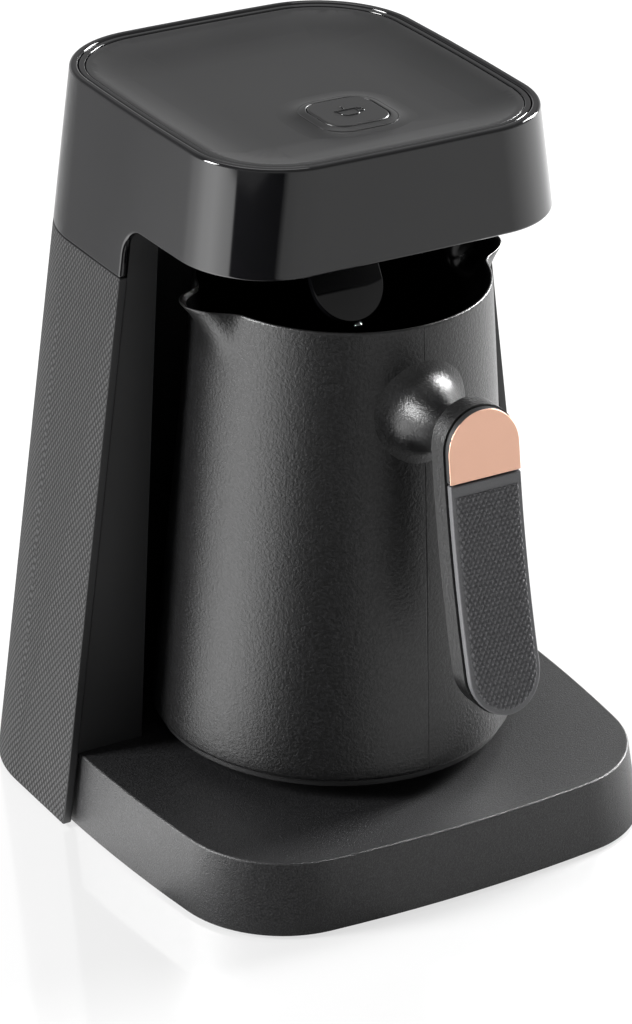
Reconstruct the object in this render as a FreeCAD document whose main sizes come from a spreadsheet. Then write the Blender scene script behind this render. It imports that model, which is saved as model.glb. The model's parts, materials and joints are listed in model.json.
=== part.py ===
import FreeCAD, Part
import math
import os
import re
import Sketcher

Vector = FreeCAD.Vector

doc = FreeCAD.newDocument("CoffeeMaker")
sheet = doc.addObject("Spreadsheet::Sheet", "Sizes")

# Driving sizes in millimetres: +Z up, the front faces -Y, origin under the middle on the table
SIZES = {
    # overall shell
    "overall_height": 226.0,
    "foot_height": 1.2,
    "top_half_width": 58.3,
    "foot_half_width": 87.9,
    "head_front": -32.6,
    "head_front_slope": 0.08,
    "rear_top": "=rear_foot - 3.95",
    "rear_foot": "=frame_front + 25.55",
    "front_corner": 28.7,
    "rear_corner_top": 32.1,
    "rear_corner_foot": 46.0,
    "side_bow_top": 1.9,
    "side_bow_foot": 1.1,
    "end_bow": 1.5,
    "housing_wall": 2.6,
    "sleeve_wall": 3.0,
    "head_bottom": "=overall_height - 32.6",
    "sleeve_top": "=head_bottom - 16.4",
    "arch_radius": 8.5,
    "column_edge_top": 25.7,
    "column_edge_slope": 0.037,
    "gap": 0.3,
    # top tray
    "ledge_top": "=overall_height - 6.5",
    "ledge_depth": 2.0,
    "ledge_inset": 9.0,
    "rim_inset": 2.8,
    "rim_width": 1.8,
    "rim_drop": 0.4,
    "tray_inset": 4.8,
    "tray_drop": 0.7,
    "tray_fit": 0.1,
    "lip_width": 1.2,
    "dish_run": 22.0,
    "tray_floor": "=overall_height - 4",
    # button
    "button_across": 2.1,
    "button_place": 6.1,
    "button_width": 21.3,
    "button_depth": 20.3,
    "button_corner": 6.0,
    "button_top": "=overall_height - 2.3",
    "button_bottom": "=button_top - 5.3",
    "button_travel": 1.2,
    "button_gap": 0.25,
    "collar_wall": 2.6,
    "collar_top": "=overall_height - 3",
    "collar_flange": 3.0,
    "cup_floor": "=button_top - 12.1",
    "cup_floor_thickness": 1.2,
    "stem_radius": 2.5,
    "stem_bottom": "=button_top - 10.4",
    "spring_inner": 3.4,
    "spring_outer": 4.2,
    # control board
    "board_top": "=stem_bottom - 5.4",
    "board_thickness": 1.6,
    "board_width": 70.0,
    "board_depth": 50.0,
    "board_place": 10.0,
    "board_hole_inset": 4.5,
    "switch_side": 6.0,
    "switch_height": 3.5,
    "plunger_radius": 1.75,
    "plunger_bottom": "=stem_bottom - 2.5",
    # screws
    "screw_radius": 1.4,
    "screw_head_radius": 2.6,
    "screw_head_height": 1.5,
    "screw_fit": 0.02,
    "screw_clearance": 0.2,
    # base
    "base_top": 23.6,
    "base_half_width_top": "=base_half_width_foot - (foot_half_width - top_half_width) * base_top / overall_height - 0.109027",
    "base_half_width_foot": "=foot_half_width - 3.8",
    "base_front_top": "=base_front_foot + 3.3",
    "base_front_foot": -78.1,
    "base_front_corner": 35.0,
    "base_front_bow": 6.9,
    "base_side_radius": 550.0,
    "base_side_middle": 25.0,
    "base_rear_margin": 3.9,
    "base_wall": 2.5,
    "base_edge_round": 0.8,
    "bottom_cover_thickness": 3.0,
    "seat_radius": "=jug_foot_radius - 12.25",
    "seat_top": "=base_top + 3.4",
    "foot_radius": 8.0,
    "foot_stem_radius": 3.0,
    "foot_spread": 56.0,
    "foot_front": "=base_front_foot + 38.1",
    "foot_rear": "=rear_foot - 29.05",
    "boss_radius": 4.0,
    "boss_spread": 40.0,
    "boss_front": "=base_front_foot + 20.1",
    "boss_rear": "=rear_foot - 17.05",
    "vent_pitch": 8.0,
    "vent_width": 2.4,
    "vent_front": 40.0,
    "vent_rear": 62.0,
    "connector_radius": 19.7,
    "connector_flange": "=connector_radius + 7.3",
    "connector_flange_thickness": 2.5,
    "connector_screw_place": "=connector_radius + 3.8",
    "pin_radius": 1.5,
    "pin_pitch": 6.5,
    "pin_bottom": "=base_top - 9.6",
    # column
    "bay_radius_foot": "=jug_foot_radius + 4.75",
    "bay_radius_top": "=jug_rim_radius + 10.25",
    "panel_wall": 2.4,
    "panel_setback": 1.5,
    "underside_thickness": 2.2,
    "underside_rear": "=rear_top - 21.1",
    "frame_half_width": 34.0,
    "frame_front": "=jug_place + bay_radius_foot + 5.2",
    "frame_thickness": 2.5,
    "frame_top": "=head_bottom - 3.4",
    "power_board_front": "=frame_front + 7.5",
    "power_board_thickness": 1.6,
    "power_board_half_width": 28.0,
    "power_board_bottom": "=base_top + 36.4",
    "power_board_top": "=frame_top - 40",
    "standoff_radius": 3.0,
    "power_hole_inset": 4.5,
    "relay_width": 19.0,
    "relay_height": 15.0,
    "relay_depth": 8.4,
    "relay_drop": 45.0,
    "relay_across": -6.5,
    "capacitor_radius": 6.0,
    "capacitor_depth": 8.2,
    "capacitor_across": 8.0,
    "capacitor_lift": 22.0,
    "gland_height": "=base_top - 9.6",
    "gland_radius": 5.5,
    "gland_flange": "=gland_radius + 1.4",
    "gland_flange_thickness": 2.0,
    "gland_bore": 3.2,
    "lead_radius": 2.2,
    "lead_place": 12.0,
    "lead_level": 10.0,
    "lead_bend": 14.0,
    "lead_rear": "=frame_front + 5",
    # sensor paddle
    "paddle_pivot_place": 12.1,
    "paddle_pivot_height": "=head_bottom - 5.4",
    "paddle_lean": 32.7,
    "paddle_length": 32.3,
    "paddle_half_width": 12.0,
    "paddle_thickness": 2.2,
    "hub_radius": 2.7,
    "hub_half_length": 13.6,
    "hub_bore_gap": 0.05,
    "hinge_pin_radius": 1.0,
    "ear_thickness": 2.2,
    "ear_depth": 8.0,
    "ear_drop": 8.8,
    "hinge_spring_length": 3.8,
    "steel_tip_radius": 1.5,
    "steel_tip_out": 1.8,
    # jug
    "jug_place": 3.3,
    "jug_rim": "=head_bottom - 19.8",
    "jug_rim_radius": 44.75,
    "jug_foot": "=seat_top + 4",
    "jug_foot_radius": 56.25,
    "jug_wall": 2.6,
    "jug_underside": "=seat_top + 0.3",
    "ledge_level": "=jug_foot + 5",
    "jug_ledge_thickness": 2.5,
    "jug_ledge_radius": "=jug_boss_place - 3",
    "jug_ring_bottom": "=jug_foot - 2.4",
    "jug_ring_radius": "=jug_foot_radius - 1.65",
    "jug_cover_radius": "=jug_ring_radius - 4.8",
    "jug_cover_thickness": 2.5,
    "jug_boss_place": "=jug_cover_radius - 3.8",
    "heater_thickness": 1.2,
    "seal_width": 2.0,
    "element_radius": "=jug_ledge_radius - 10",
    "element_tube": 3.4,
    "contact_radius": "=connector_radius - 1.9",
    "contact_flange": "=contact_radius + 3.2",
    "spout_reach": 11.5,
    "spout_height": 23.0,
    "spout_place": "=jug_rim_radius - 0.75",
    "spout_lift": 1.6,
    "spout_point": 0.6,
    "spout_wall": 2.6,
    # handle
    "handle_half_width": 12.7,
    "handle_top_face": "=jug_place - jug_rim_radius - 31.95",
    "handle_top": "=jug_rim - 12.9",
    "handle_middle_face": "=handle_top_face - 8",
    "handle_middle": "=handle_top - 43.7",
    "handle_bottom_face": "=handle_top_face - 21.87",
    "handle_bottom": "=handle_top - 90.5",
    "handle_thickness": 8.5,
    "pad_thickness": 2.3,
    "pad_gap": 0.1,
    "pad_margin": 0.6,
    "badge_bottom": "=handle_top - 21.1",
    "badge_gap": 0.5,
    "neck_level": "=handle_top - 13.7",
    "neck_wall_radius": 12.5,
    "neck_end_radius": 8.6,
    "handle_screw_spread": 4.6,
}

for row, alias in enumerate(SIZES, start=1):
    sheet.set("A%d" % row, alias.replace("_", " "))
    sheet.set("B%d" % row, "0")
    sheet.setAlias("B%d" % row, alias)
for row, value in enumerate(SIZES.values(), start=1):
    sheet.set("B%d" % row, str(value))
doc.recompute()


def size(alias):
    return float(sheet.get(alias))


def bound(text):
    # turns the words of a formula into references to the sheet
    return re.sub(r"[a-z][a-z_]+", lambda word: "Sizes." + word.group(0), text)


def worked_out(text):
    return float(sheet.evalExpression(bound(text)))


made = []


def name_part(item, name):
    item.Label = name
    made.append(item)
    return item


def feature(name, shape):
    item = doc.addObject("Part::Feature", name)
    item.Shape = shape
    return name_part(item, name)


# Flat profiles whose corners are bound to the sheet

def draw_profile(sketch, corners):
    places = [Vector(worked_out(across), worked_out(up), 0) for across, up in corners]
    count = len(places)
    for index in range(count):
        sketch.addGeometry(Part.LineSegment(places[index], places[(index + 1) % count]))
    for index in range(count):
        sketch.addConstraint(Sketcher.Constraint("Coincident", index, 2, (index + 1) % count, 1))
    for index, corner in enumerate(corners):
        for kind, axis, text in (("DistanceX", -2, corner[0]), ("DistanceY", -1, corner[1])):
            if text == "0":
                sketch.addConstraint(Sketcher.Constraint("PointOnObject", index, 1, axis))
                continue
            number = sketch.addConstraint(Sketcher.Constraint(kind, -1, 1, index, 1, worked_out(text)))
            sketch.setExpression("Constraints[%d]" % number, bound(text))


def origin_plane(body, role):
    return next(item for item in body.Origin.OriginFeatures if item.Role == role)


def profile_body(name, plane, corners):
    body = doc.addObject("PartDesign::Body", name)
    sketch = body.newObject("Sketcher::SketchObject", name + "_profile")
    sketch.AttachmentSupport = [(origin_plane(body, plane), "")]
    sketch.MapMode = "FlatFace"
    draw_profile(sketch, corners)
    return body, sketch


def turned(name, corners, place="jug_place", across="0"):
    # a round piece: half its section, turned about an upright axis
    body, sketch = profile_body(name, "XZ_Plane", corners)
    spin = body.newObject("PartDesign::Revolution", name + "_turn")
    spin.Profile = sketch
    spin.ReferenceAxis = (sketch, ["V_Axis"])
    spin.Angle = 360
    body.Tip = spin
    body.setExpression("Placement.Base.x", bound(across))
    body.setExpression("Placement.Base.y", bound(place))
    return body


def rectangle(left, right, low, high):
    return [(left, low), (right, low), (right, high), (left, high)]


# Curved outlines of the shells

def meet(first, first_radius, second, second_radius, front):
    # where two circles cross on the right side, towards the front or the rear
    apart = second - first
    distance = apart.Length
    along = (first_radius ** 2 - second_radius ** 2 + distance ** 2) / (2 * distance)
    across = math.sqrt(first_radius ** 2 - along ** 2)
    direction = apart / distance
    normal = Vector(-direction.y, direction.x, 0)
    choices = [first + direction * along + normal * across, first + direction * along - normal * across]
    choices.sort(key=lambda point: point.y)
    return choices[0] if front else choices[-1]


def arc(centre, radius, start, end):
    middle = (start + end) / 2 - centre
    return Part.Arc(start, centre + middle / middle.Length * radius, end).toShape()


def mirrored(point):
    return Vector(-point.x, point.y, point.z)


def outline(level, half_width, front, rear, corners, bows, side=None):
    # eight arcs that meet smoothly: bowed front, sides and rear, with round corners
    front_corner, rear_corner = corners
    end_bow, side_bow = bows
    side_radius = side[0] if side else ((rear - front) / 2) ** 2 / (2 * side_bow)
    side_middle = side[1] if side else (front + rear) / 2
    front_radius = half_width ** 2 / (2 * end_bow)
    rear_radius = half_width ** 2 / (2 * (end_bow if side is None else size("end_bow")))
    side_centre = Vector(half_width - side_radius, side_middle, 0)
    front_centre = Vector(0, front + front_radius, 0)
    rear_centre = Vector(0, rear - rear_radius, 0)
    near = meet(front_centre, front_radius - front_corner, side_centre, side_radius - front_corner, True)
    far = meet(rear_centre, rear_radius - rear_corner, side_centre, side_radius - rear_corner, False)

    def touch(centre, radius, towards):
        way = towards - centre
        return centre + way / way.Length * radius

    front_end = touch(front_centre, front_radius, near)
    side_front = touch(side_centre, side_radius, near)
    side_rear = touch(side_centre, side_radius, far)
    rear_end = touch(rear_centre, rear_radius, far)
    right = [
        (side_front, near, front_corner, front_end),
        (side_front, side_centre, side_radius, side_rear),
        (side_rear, far, rear_corner, rear_end),
    ]
    edges = [arc(front_centre, front_radius, mirrored(front_end), front_end)]
    edges.append(arc(right[0][1], right[0][2], front_end, side_front))
    edges.append(arc(right[1][1], right[1][2], side_front, side_rear))
    edges.append(arc(right[2][1], right[2][2], side_rear, rear_end))
    edges.append(arc(rear_centre, rear_radius, rear_end, mirrored(rear_end)))
    edges.append(arc(mirrored(far), rear_corner, mirrored(rear_end), mirrored(side_rear)))
    edges.append(arc(mirrored(side_centre), side_radius, mirrored(side_rear), mirrored(side_front)))
    edges.append(arc(mirrored(near), front_corner, mirrored(side_front), mirrored(front_end)))
    wire = Part.Wire(edges)
    wire.translate(Vector(0, 0, level))
    return wire


def between(low, high, share):
    return low + (high - low) * share


def shell_outline(level, inset=0.0):
    # the head and column share one tapering outside
    down = (size("overall_height") - level) / size("overall_height")
    half_width = between(size("top_half_width"), size("foot_half_width"), down)
    front = size("head_front") - size("head_front_slope") * (size("overall_height") - level)
    rear = between(size("rear_top"), size("rear_foot"), down)
    rear_corner = between(size("rear_corner_top"), size("rear_corner_foot"), down)
    side_bow = between(size("side_bow_top"), size("side_bow_foot"), down)
    corners = (size("front_corner") - inset, rear_corner - inset)
    bows = (size("end_bow"), side_bow)
    return outline(level, half_width - inset, front + inset, rear - inset, corners, bows)


def base_outline(level, inset=0.0):
    share = level / size("base_top")
    half_width = between(size("base_half_width_foot"), size("base_half_width_top"), share)
    front = between(size("base_front_foot"), size("base_front_top"), share)
    down = (size("overall_height") - level) / size("overall_height")
    rear = between(size("rear_top"), size("rear_foot"), down) - size("base_rear_margin")
    rear_corner = between(size("rear_corner_top"), size("rear_corner_foot"), down) - size("base_rear_margin")
    corners = (size("base_front_corner") - inset, rear_corner - inset)
    bows = (size("base_front_bow"), size("end_bow"))
    side = (size("base_side_radius") - inset, size("base_side_middle"))
    return outline(level, half_width - inset, front + inset, rear - inset, corners, bows, side)


def drawn_up(outline_of, low, high, inset):
    return Part.makeLoft([outline_of(low, inset), outline_of(high, inset)], True, True)


def column_edge(level):
    return size("column_edge_top") - size("column_edge_slope") * (size("overall_height") - level)


REACH = 300.0


def upright_cylinder(radius, x, y, low, high):
    return Part.makeCylinder(radius, high - low, Vector(x, y, low))


def cylinder_along_y(radius, x, z, start, end):
    return Part.makeCylinder(radius, end - start, Vector(x, start, z), Vector(0, 1, 0))


def cylinder_along_x(radius, y, z, start, end):
    return Part.makeCylinder(radius, end - start, Vector(start, y, z), Vector(1, 0, 0))


def block(x0, x1, y0, y1, z0, z1):
    return Part.makeBox(x1 - x0, y1 - y0, z1 - z0, Vector(x0, y0, z0))


def button_plate(extra, corner, low, high):
    # the button's rounded outline, grown by extra on every side
    half_width = size("button_width") / 2 + extra
    half_depth = size("button_depth") / 2 + extra
    x = size("button_across")
    y = size("button_place")
    plate = block(x - half_width, x + half_width, y - half_depth, y + half_depth, low, high)
    upright = [edge for edge in plate.Edges if abs(edge.tangentAt(edge.FirstParameter).z) > 0.5]
    return plate.makeFillet(corner, upright)


def screw(radius, head_radius, head_height, length):
    # head at the origin, shank pointing up
    head = Part.makeCylinder(head_radius, head_height)
    shank = Part.makeCylinder(radius, length, Vector(0, 0, head_height))
    slot = block(-head_radius, head_radius, -0.3, 0.3, 0, head_height * 0.4)
    return head.fuse(shank).cut(slot).removeSplitter()


def placed(shape, position, rotation=None):
    copy = shape.copy()
    copy.Placement = FreeCAD.Placement(position, rotation or FreeCAD.Rotation())
    return copy


# Column front: everything ahead of this sloping face is the open bay for the jug
def bay_cutter(low, setback=0.0):
    head_bottom = size("head_bottom")
    radius = size("arch_radius")
    corner_y = column_edge(head_bottom) + setback
    start = Vector(0, -REACH, low)
    foot = Vector(0, column_edge(low) + setback, low)
    slope = Vector(0, corner_y - foot.y, head_bottom - low)
    slope.normalize()
    lean = math.atan2(slope.y, slope.z)
    reach = radius / math.tan((math.pi / 2 - lean) / 2)
    corner = Vector(0, corner_y, head_bottom)
    arc_start = corner - slope * reach
    arc_end = corner - Vector(0, reach, 0)
    centre = arc_end - Vector(0, 0, radius)
    toward = corner - centre
    arc_middle = centre + toward / toward.Length * radius
    top = Vector(0, -REACH, head_bottom)
    edges = [
        Part.makeLine(start, foot),
        Part.makeLine(foot, arc_start),
        Part.Arc(arc_start, arc_middle, arc_end).toShape(),
        Part.makeLine(arc_end, top),
        Part.makeLine(top, start),
    ]
    face = Part.Face(Part.Wire(edges))
    face.translate(Vector(-REACH, 0, 0))
    return face.extrude(Vector(2 * REACH, 0, 0))


def bay_cone(extra):
    low = size("base_top")
    high = size("head_bottom")
    centre = Vector(0, size("jug_place"), low)
    return Part.makeCone(size("bay_radius_foot") + extra, size("bay_radius_top") + extra, high - low, centre)


def make_upper_housing():
    low = size("sleeve_top")
    high = size("overall_height")
    wall = size("housing_wall")
    outside = drawn_up(shell_outline, low, high, 0)
    inside = drawn_up(shell_outline, low, high, wall)
    ledge_low = size("ledge_top") - size("ledge_depth")
    ledge = drawn_up(shell_outline, ledge_low, size("ledge_top"), wall / 2)
    ledge = ledge.cut(drawn_up(shell_outline, ledge_low, size("ledge_top"), size("ledge_inset")))
    shell = outside.cut(inside).cut(bay_cutter(low - 5))
    return feature("upper_housing", shell.fuse(ledge).removeSplitter())


def make_sleeve():
    low = size("foot_height")
    high = size("sleeve_top")
    outside = drawn_up(shell_outline, low, high, 0)
    inside = drawn_up(shell_outline, low, high, size("sleeve_wall"))
    gland_hole = cylinder_along_y(size("gland_radius") + size("screw_fit"), 0, size("gland_height"), 60, 120)
    return feature("body_sleeve", outside.cut(inside).cut(bay_cutter(low)).cut(gland_hole))


def make_front_panel():
    low = size("base_top")
    high = size("head_bottom")
    wall = size("panel_wall")
    setback = size("panel_setback")

    def strip(level):
        down = (size("overall_height") - level) / size("overall_height")
        half_width = between(size("top_half_width"), size("foot_half_width"), down)
        half_width -= size("sleeve_wall") + size("gap") + size("panel_setback") * 0.2
        front = column_edge(level) + setback
        corners = [(-half_width, front), (half_width, front), (half_width, front + wall), (-half_width, front + wall)]
        points = [Vector(x, y, level) for x, y in corners]
        return Part.makePolygon(points + points[:1])

    flange = Part.makeLoft([strip(low), strip(high)], True, True)
    wrap = bay_cone(wall).cut(bay_cutter(low, setback))
    wrap = wrap.cut(block(-REACH, REACH, -REACH, column_edge(high) + setback - size("arch_radius"), low, high + 1))
    panel = wrap.fuse(flange).cut(bay_cone(0))
    return feature("column_front_panel", panel.removeSplitter())


def board_corners():
    inset = size("board_hole_inset")
    across = size("board_width") / 2 - inset
    along = size("board_depth") / 2 - inset
    middle = size("board_place")
    return [(side * across, middle + end * along) for side in (-1, 1) for end in (-1, 1)]


def make_underside_panel():
    low = size("head_bottom")
    high = low + size("underside_thickness")
    board_bottom = size("board_top") - size("board_thickness")
    plate = drawn_up(shell_outline, low, high, size("housing_wall") + size("gap"))
    plate = plate.cut(block(-REACH, REACH, size("underside_rear"), REACH, low - 1, high + 1))
    pin_y = size("paddle_pivot_place")
    pin_z = size("paddle_pivot_height")
    shape = plate
    for side in (-1, 1):
        inner = side * (size("hub_half_length") + size("gap"))
        outer = inner + side * size("ear_thickness")
        ear = block(min(inner, outer), max(inner, outer), pin_y - size("ear_depth") / 2,
                    pin_y + size("ear_depth") / 2, low - size("ear_drop"), low)
        shape = shape.fuse(ear)
    for x, y in board_corners():
        shape = shape.fuse(upright_cylinder(size("standoff_radius"), x, y, high, board_bottom))
        pilot = size("screw_radius") + size("screw_fit")
        shape = shape.cut(upright_cylinder(pilot, x, y, high, board_bottom))
    pin_hole = cylinder_along_x(size("hinge_pin_radius") + size("screw_fit"), pin_y, pin_z, -40, 40)
    return feature("head_underside_panel", shape.cut(pin_hole).removeSplitter())


def make_tray():
    low = size("ledge_top")
    high = size("overall_height") - size("tray_drop")
    floor = size("tray_floor")
    inset = size("tray_inset")
    plate = drawn_up(shell_outline, low, high, inset)
    # the dish falls from the lip in a soft hollow curve
    depth = high - floor
    run = size("dish_run")
    lip = inset + size("lip_width")
    steps = [0.0, 0.12, 0.3, 0.55, 1.0]
    wires = []
    for step in reversed(steps):
        level = high - depth * (1 - (1 - step) ** 2.2)
        wires.append(shell_outline(level, lip + run * step))
    wires.append(shell_outline(high + 1, lip))
    dish = Part.makeLoft(wires, True, True)
    around = size("button_gap") + size("collar_wall")
    hole = button_plate(around + size("tray_fit"), size("button_corner") + around, low - 1, high + 1)
    feature("top_tray", plate.cut(dish).cut(hole))
    rim = drawn_up(shell_outline, low, size("overall_height") - size("rim_drop"), size("rim_inset"))
    inner = size("rim_inset") + size("rim_width")
    rim = rim.cut(drawn_up(shell_outline, low - 1, size("overall_height"), inner))
    feature("tray_rim", rim)


def make_button_group():
    across = size("button_across")
    middle = size("button_place")
    corner = size("button_corner")
    gap = size("button_gap")
    around = gap + size("collar_wall")
    low = size("cup_floor")
    outer = button_plate(around, corner + around, low, size("collar_top"))
    ledge = size("ledge_top")
    flange = button_plate(around + size("collar_flange"), corner, ledge - 1.5, ledge)
    well = button_plate(gap, corner + gap, low + size("cup_floor_thickness"), size("collar_top") + 1)
    stem_hole = upright_cylinder(size("stem_radius") + gap, across, middle, low - 1, low + 3)
    feature("button_collar", outer.fuse(flange).cut(well).cut(stem_hole).removeSplitter())

    cap = button_plate(0, corner, size("button_bottom"), size("button_top"))
    top_edges = [edge for edge in cap.Edges if edge.BoundBox.ZMin > size("button_top") - 0.01]
    cap = cap.makeFillet(0.7, top_edges)
    stem = upright_cylinder(size("stem_radius"), across, middle, size("stem_bottom"), size("button_bottom"))
    feature("start_button", cap.fuse(stem))


# Round pieces in the head

def make_head_small_parts():
    spring_low = "cup_floor + cup_floor_thickness"
    corners = rectangle("spring_inner", "spring_outer", spring_low, "button_bottom")
    name_part(turned("button_spring", corners, "button_place", "button_across"), "button_spring")
    corners = rectangle("0", "plunger_radius", "plunger_bottom", "stem_bottom")
    name_part(turned("switch_plunger", corners, "button_place", "button_across"), "switch_plunger")

    across = size("button_across")
    middle = size("button_place")
    half = size("switch_side") / 2
    top = size("board_top")
    case = block(across - half, across + half, middle - half, middle + half, top, top + size("switch_height"))
    hole_bottom = size("plunger_bottom") - size("button_travel") - 0.2
    hole = upright_cylinder(size("plunger_radius") + 0.05, across, middle, hole_bottom, top + 9)
    feature("push_switch", case.cut(hole))

    corners = rectangle("0", "stem_radius + gap", "board_top", "board_top + switch_height - gap")
    light = turned("status_light", corners, "button_place", "button_across - switch_side - stem_radius")
    corners = rectangle("0", "switch_side", "board_top", "board_top + switch_side")
    buzzer = turned("buzzer", corners, "board_place + switch_side * 2", "board_width / 4 + switch_side / 2")
    name_part(light, "status_light")
    name_part(buzzer, "buzzer")

    low = top - size("board_thickness")
    half_width = size("board_width") / 2
    half_depth = size("board_depth") / 2
    place = size("board_place")
    board = block(-half_width, half_width, place - half_depth, place + half_depth, low, top)
    screws = []
    length = size("board_thickness") + 6
    for x, y in board_corners():
        board = board.cut(upright_cylinder(size("screw_radius") + size("screw_clearance"), x, y, low, top))
        one = screw(size("screw_radius"), size("screw_head_radius"), size("screw_head_height"), length)
        head_level = top + size("screw_head_height")
        screws.append(placed(one, Vector(x, y, head_level), FreeCAD.Rotation(Vector(1, 0, 0), 180)))
    feature("control_board", board)
    feature("control_board_screws", Part.makeCompound(screws))


# Sensor paddle

def blade_direction():
    lean = math.radians(size("paddle_lean"))
    return Vector(0, -math.sin(lean), -math.cos(lean))


def make_sensor():
    pivot = Vector(0, size("paddle_pivot_place"), size("paddle_pivot_height"))
    half_width = size("paddle_half_width")
    thickness = size("paddle_thickness")
    length = size("paddle_length")
    hub_half = size("hub_half_length")
    bore = size("hinge_pin_radius") + size("hub_bore_gap")
    # the blade is drawn hanging straight down, then leant forwards
    straight = block(-half_width, half_width, -thickness / 2, thickness / 2, -(length - half_width), 0)
    end = cylinder_along_y(half_width, 0, -(length - half_width), -thickness / 2, thickness / 2)
    hub = cylinder_along_x(size("hub_radius"), 0, 0, -hub_half, hub_half - size("hinge_spring_length"))
    blade = straight.fuse(end).fuse(hub)
    blade = blade.cut(cylinder_along_x(bore, 0, 0, -hub_half - 1, hub_half + 1))
    spring_room = block(hub_half - size("hinge_spring_length"), REACH, -5, 5, -4, 5)
    blade = blade.cut(spring_room)
    tip_radius = size("steel_tip_radius")
    tip_start = -length + 4.0
    tip_end = -length - size("steel_tip_out")
    tip = upright_cylinder(tip_radius, 0, 0, tip_end, tip_start)
    # the tip is thicker than the blade, so it stands proud of both its faces
    blade = blade.cut(upright_cylinder(tip_radius + size("screw_fit"), 0, 0, tip_end, tip_start))
    foot = [edge for edge in tip.Edges if edge.BoundBox.ZMax < tip_end + 0.01]
    tip = tip.makeFillet(0.7, foot)
    lean = FreeCAD.Rotation(Vector(1, 0, 0), -size("paddle_lean"))
    feature("sensor_paddle", placed(blade.removeSplitter(), pivot, lean))
    feature("sensor_tip", placed(tip, pivot, lean))

    outer = hub_half + size("gap") + size("ear_thickness")
    pin = cylinder_along_x(size("hinge_pin_radius"), pivot.y, pivot.z, -outer, outer)
    feature("sensor_hinge_pin", pin)
    ring_outer = size("hinge_pin_radius") + 1.0
    start = hub_half - size("hinge_spring_length") + 0.15
    coil = cylinder_along_x(ring_outer, pivot.y, pivot.z, start, hub_half)
    coil = coil.cut(cylinder_along_x(bore + 0.1, pivot.y, pivot.z, start - 1, hub_half + 1))
    feature("sensor_spring", coil)


# Base

def square_of(spread, front, rear):
    return [(side * size(spread), size(end)) for side in (-1, 1) for end in (front, rear)]


def make_base():
    low = size("foot_height")
    high = size("base_top")
    wall = size("base_wall")
    outside = drawn_up(base_outline, low, high, 0)
    top_edges = [edge for edge in outside.Edges if edge.BoundBox.ZMin > high - 0.01]
    outside = outside.makeFillet(size("base_edge_round"), top_edges)
    inside = drawn_up(base_outline, low, high - wall, wall)
    centre = size("jug_place")
    seat = upright_cylinder(size("seat_radius"), 0, centre, high - wall, size("seat_top"))
    seat_edges = [edge for edge in seat.Edges if edge.BoundBox.ZMin > size("seat_top") - 0.01]
    seat = seat.makeFillet(size("base_edge_round"), seat_edges)
    cover = outside.cut(inside).fuse(seat)
    cover = cover.cut(upright_cylinder(size("connector_radius") + 0.2, 0, centre, high - wall - 1, 40))
    screw_top = size("seat_top") - 1.5
    for side in (-1, 1):
        pilot = size("screw_radius") + size("screw_fit")
        x = side * size("connector_screw_place")
        cover = cover.cut(upright_cylinder(pilot, x, centre, high - wall, screw_top))
    boss_low = low + size("bottom_cover_thickness")
    for x, y in square_of("boss_spread", "boss_front", "boss_rear"):
        cover = cover.fuse(upright_cylinder(size("boss_radius"), x, y, boss_low, high - wall))
        pilot = size("screw_radius") + size("screw_fit")
        cover = cover.cut(upright_cylinder(pilot, x, y, boss_low, boss_low + 12))
    cover = cover.cut(cylinder_along_y(size("gland_radius") + size("screw_fit"), 0, size("gland_height"), 60, 120))
    lead_hole = upright_cylinder(size("lead_radius") + 0.4, size("lead_place"), size("lead_rear"), high - 5, high + 1)
    feature("base_cover", cover.cut(lead_hole).removeSplitter())


def make_base_bottom():
    low = size("foot_height")
    thickness = size("bottom_cover_thickness")
    plate = drawn_up(base_outline, low, low + thickness, size("base_wall") + size("gap"))
    clearance = size("screw_radius") + size("screw_clearance")
    head_room = size("screw_head_radius") + size("screw_clearance")
    head_height = size("screw_head_height")
    screws = []
    for x, y in square_of("boss_spread", "boss_front", "boss_rear"):
        plate = plate.cut(upright_cylinder(clearance, x, y, low, low + thickness))
        plate = plate.cut(upright_cylinder(head_room, x, y, low, low + head_height))
        one = screw(size("screw_radius"), size("screw_head_radius"), head_height - 0.2, 9.5)
        screws.append(placed(one, Vector(x, y, low + 0.2)))
    feet = []
    for x, y in square_of("foot_spread", "foot_front", "foot_rear"):
        stem = size("foot_stem_radius")
        plate = plate.cut(upright_cylinder(stem + size("screw_fit"), x, y, low, low + thickness))
        pad = upright_cylinder(size("foot_radius"), x, y, 0, low)
        feet.append(pad.fuse(upright_cylinder(stem, x, y, low, low + thickness + 0.4)).removeSplitter())
    # a row of vent slots lets the boards breathe
    half_slot = size("vent_width") / 2
    for index in range(-3, 4):
        x = index * size("vent_pitch")
        plate = plate.cut(block(x - half_slot, x + half_slot, size("vent_front"), size("vent_rear"), low, low + thickness))
    feature("base_bottom_cover", plate)
    feature("base_screws", Part.makeCompound(screws))
    feature("rubber_feet", Part.makeCompound(feet))


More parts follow.
